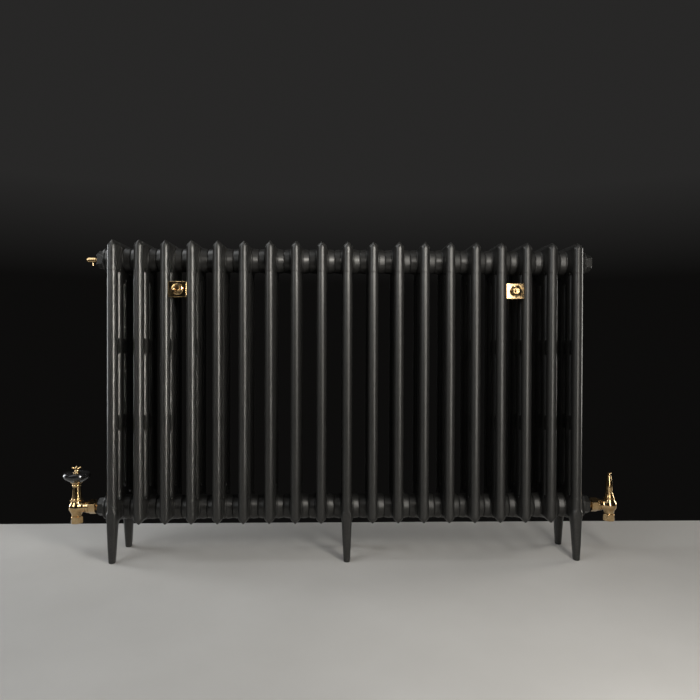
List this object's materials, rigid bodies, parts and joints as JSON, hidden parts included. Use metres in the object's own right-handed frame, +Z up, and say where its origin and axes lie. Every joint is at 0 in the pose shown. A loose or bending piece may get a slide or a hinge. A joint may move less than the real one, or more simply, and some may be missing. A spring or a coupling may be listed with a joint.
{
  "type": "cast iron column radiator",
  "caption": "Cast iron column radiator on feet, with a round-wheel angle valve, a capped lockshield valve, an air vent, a blank plug and brass wall stays.",
  "frame": {"origin": "on the floor, at the middle of the whole object's plan", "axes": "+X along the row of sections, -Y the front, +Y the wall, +Z up"},
  "size_m": [1.337, 0.1782, 0.745],
  "materials": {
    "iron": "dark gunmetal paint, semi-gloss, over a fine cast grain",
    "brass": "polished",
    "wheel_black": "gloss black",
    "nipple_steel": "machined",
    "gasket": "matt black",
    "packing": "pressed fibre"
  },
  "bodies": {
    "root": {"section_01": "iron", "section_02": "iron", "section_03": "iron", "section_04": "iron", "section_05": "iron", "section_06": "iron", "section_07": "iron", "section_08": "iron", "section_09": "iron", "section_10": "iron", "section_11": "iron", "section_12": "iron", "section_13": "iron", "section_14": "iron", "section_15": "iron", "section_16": "iron", "section_17": "iron", "section_18": "iron", "section_19": "iron", "bush_top_left": "iron", "bush_bottom_left": "iron", "bush_bottom_right": "iron", "plug_top_right": "iron", "top_nipples": "nipple_steel", "bottom_nipples": "nipple_steel", "top_gaskets": "gasket", "bottom_gaskets": "gasket", "end_gaskets": "gasket", "valve_packing": "packing", "lockshield_packing": "packing", "air_vent_body": "brass", "valve_body": "brass", "valve_tailpiece": "brass", "valve_olive": "brass", "valve_bonnet": "brass", "lockshield_body": "brass", "lockshield_tailpiece": "brass", "lockshield_olive": "brass", "lockshield_bonnet": "brass", "stay_rods": "brass", "stay_wall_plates": "brass"},
    "handwheel": {"valve_spindle": "brass", "wheel_collar": "brass", "handwheel": "wheel_black", "wheel_finial": "brass"},
    "valve_disc": {"valve_disc": "brass"},
    "valve_union_nut": {"valve_union_nut": "brass"},
    "valve_pipe_nut": {"valve_pipe_nut": "brass"},
    "lockshield_union_nut": {"lockshield_union_nut": "brass"},
    "lockshield_pipe_nut": {"lockshield_pipe_nut": "brass"},
    "lockshield_cap": {"lockshield_cap": "brass"},
    "lockshield_spindle": {"lockshield_spindle": "brass"},
    "lockshield_disc": {"lockshield_disc": "brass"},
    "air_vent_screw": {"air_vent_screw": "brass"},
    "stay_plate_left": {"stay_plate_left": "brass"},
    "stay_nut_left": {"stay_nut_left": "brass"},
    "stay_plate_right": {"stay_plate_right": "brass"},
    "stay_nut_right": {"stay_nut_right": "brass"}
  },
  "joints": [
    {"name": "handwheel_turn", "type": "hinge", "parent": "root", "child": "handwheel", "pos_m": [-0.6375, -0.0131, 0.19], "axis": [0, 0, 1], "range_deg": [0, 900]},
    {"name": "valve_disc_lift", "type": "slide", "parent": "root", "child": "valve_disc", "axis": [0, 0, 1], "range_m": [0, 0.005]},
    {"name": "valve_union_nut_turn", "type": "hinge", "parent": "root", "child": "valve_union_nut", "pos_m": [-0.5985, -0.0131, 0.115], "axis": [1, 0, 0], "continuous": true},
    {"name": "valve_pipe_nut_turn", "type": "hinge", "parent": "root", "child": "valve_pipe_nut", "pos_m": [-0.6375, -0.0131, 0.085], "axis": [0, 0, 1], "continuous": true},
    {"name": "lockshield_cap_lift", "type": "slide", "parent": "root", "child": "lockshield_cap", "axis": [0, 0, 1], "range_m": [0, 0.06]},
    {"name": "lockshield_turn", "type": "hinge", "parent": "root", "child": "lockshield_spindle", "pos_m": [0.6505, -0.0131, 0.15], "axis": [0, 0, 1], "range_deg": [0, 900]},
    {"name": "lockshield_disc_lift", "type": "slide", "parent": "root", "child": "lockshield_disc", "axis": [0, 0, 1], "range_m": [0, 0.005]},
    {"name": "lockshield_union_nut_turn", "type": "hinge", "parent": "root", "child": "lockshield_union_nut", "pos_m": [0.6115, -0.0131, 0.115], "axis": [1, 0, 0], "continuous": true},
    {"name": "lockshield_pipe_nut_turn", "type": "hinge", "parent": "root", "child": "lockshield_pipe_nut", "pos_m": [0.6505, -0.0131, 0.085], "axis": [0, 0, 1], "continuous": true},
    {"name": "air_vent_screw_turn", "type": "hinge", "parent": "root", "child": "air_vent_screw", "pos_m": [-0.6095, -0.0131, 0.704], "axis": [-1, 0, 0], "range_deg": [0, 540]},
    {"name": "stay_plate_left_slide", "type": "slide", "parent": "root", "child": "stay_plate_left", "axis": [0, -1, 0], "range_m": [0, 0.006]},
    {"name": "stay_nut_left_turn", "type": "hinge", "parent": "stay_plate_left", "child": "stay_nut_left", "pos_m": [-0.3835, -0.08285, 0.63], "axis": [0, 1, 0], "continuous": true},
    {"name": "stay_plate_right_slide", "type": "slide", "parent": "root", "child": "stay_plate_right", "axis": [0, -1, 0], "range_m": [0, 0.006]},
    {"name": "stay_nut_right_turn", "type": "hinge", "parent": "stay_plate_right", "child": "stay_nut_right", "pos_m": [0.3965, -0.08285, 0.63], "axis": [0, 1, 0], "continuous": true}
  ],
  "couplings": [
    {"joint": "valve_disc_lift", "follows": "handwheel_turn", "m_per_rad": 0.00031831},
    {"joint": "lockshield_disc_lift", "follows": "lockshield_turn", "m_per_rad": 0.00031831}
  ]
}
